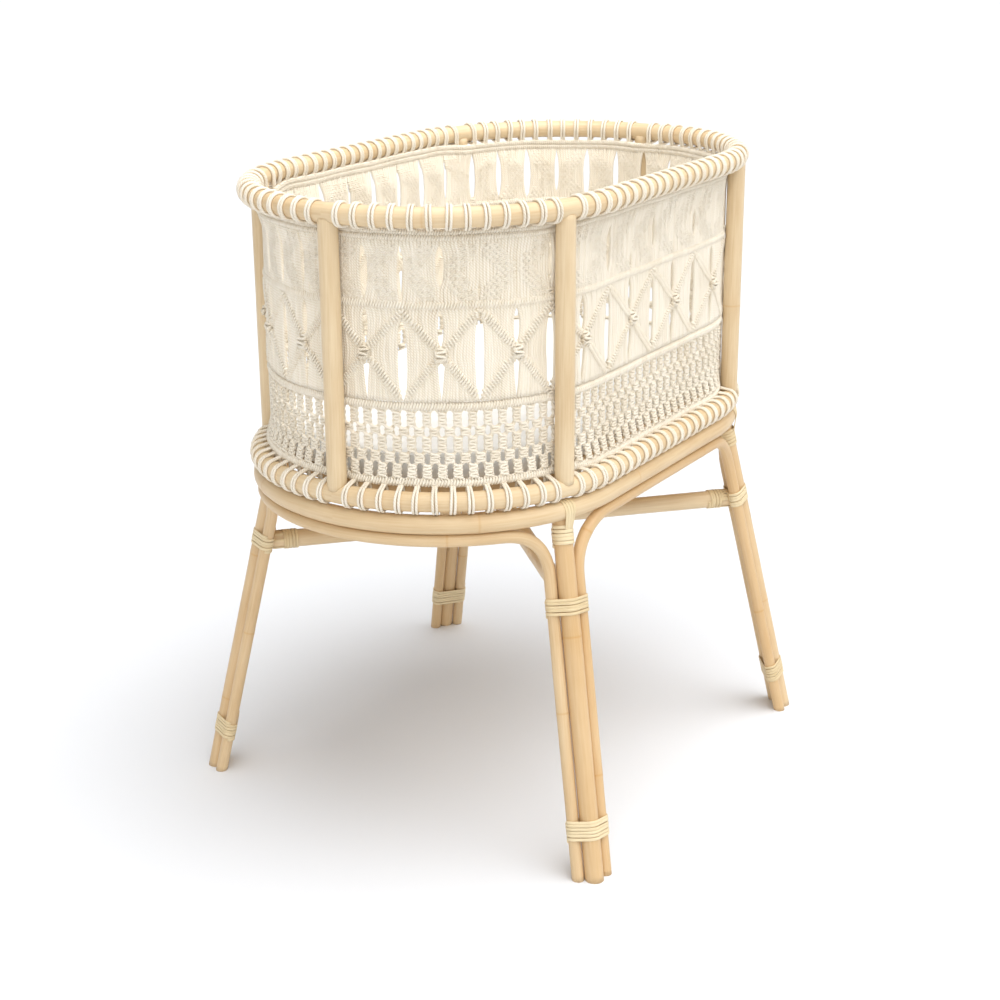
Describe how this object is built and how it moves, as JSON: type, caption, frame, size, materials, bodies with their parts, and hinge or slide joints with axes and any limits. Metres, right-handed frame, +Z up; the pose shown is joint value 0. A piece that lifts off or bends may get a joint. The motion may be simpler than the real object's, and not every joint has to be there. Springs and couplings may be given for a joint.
{
  "type": "baby cradle",
  "caption": "Oval rattan baby basket lined with a knotted cord net, holding a mattress and resting on a ring with four splayed three-pole legs.",
  "frame": {"origin": "on the floor, under the centre of the basket", "axes": "+X along the basket's length towards its foot end, +Y across it, +Z up"},
  "size_m": [0.8778, 0.6804, 0.902],
  "materials": {
    "rattan": "satin",
    "cane": "satin",
    "cord": "matte",
    "mattress_cover": "matte",
    "board": "matte",
    "dowel": "matte",
    "screw_steel": "brushed"
  },
  "bodies": {
    "stand": {"stand_ring": "rattan", "leg_1": "rattan", "leg_2": "rattan", "leg_3": "rattan", "leg_4": "rattan", "leg_screws": "screw_steel", "arch_end_1": "rattan", "arch_end_2": "rattan", "arch_side_1": "rattan", "arch_side_2": "rattan", "brace_lower": "rattan", "brace_upper": "rattan", "brace_crossing_binding": "cane", "leg_top_binding_1": "cane", "leg_top_binding_2": "cane", "leg_top_binding_3": "cane", "leg_top_binding_4": "cane", "leg_mid_binding_1": "cane", "leg_mid_binding_2": "cane", "leg_mid_binding_3": "cane", "leg_mid_binding_4": "cane", "leg_foot_binding_1": "cane", "leg_foot_binding_2": "cane", "leg_foot_binding_3": "cane", "leg_foot_binding_4": "cane", "brace_binding_1": "cane", "brace_binding_2": "cane", "brace_binding_3": "cane", "brace_binding_4": "cane"},
    "basket": {"rim_ring": "rattan", "lower_ring": "rattan", "post_head_end": "rattan", "post_foot_end": "rattan", "post_corner_1": "rattan", "post_corner_2": "rattan", "post_corner_3": "rattan", "post_corner_4": "rattan", "post_dowels": "dowel", "rim_cord_wraps": "cord", "lower_cord_wraps": "cord", "net_end_1": "cord", "net_end_2": "cord", "net_end_3": "cord", "net_end_4": "cord", "net_side_1": "cord", "net_side_2": "cord", "base_slat_1": "rattan", "base_slat_2": "rattan", "base_slat_3": "rattan", "base_slat_4": "rattan", "base_slat_5": "rattan", "base_board": "board"},
    "mattress": {"mattress": "mattress_cover"}
  },
  "joints": [
    {"name": "basket_lift", "type": "slide", "parent": "stand", "child": "basket", "axis": [0, 0, 1], "range_m": [0, 0.12]},
    {"name": "mattress_lift", "type": "slide", "parent": "basket", "child": "mattress", "axis": [0, 0, 1], "range_m": [0, 0.38]}
  ]
}
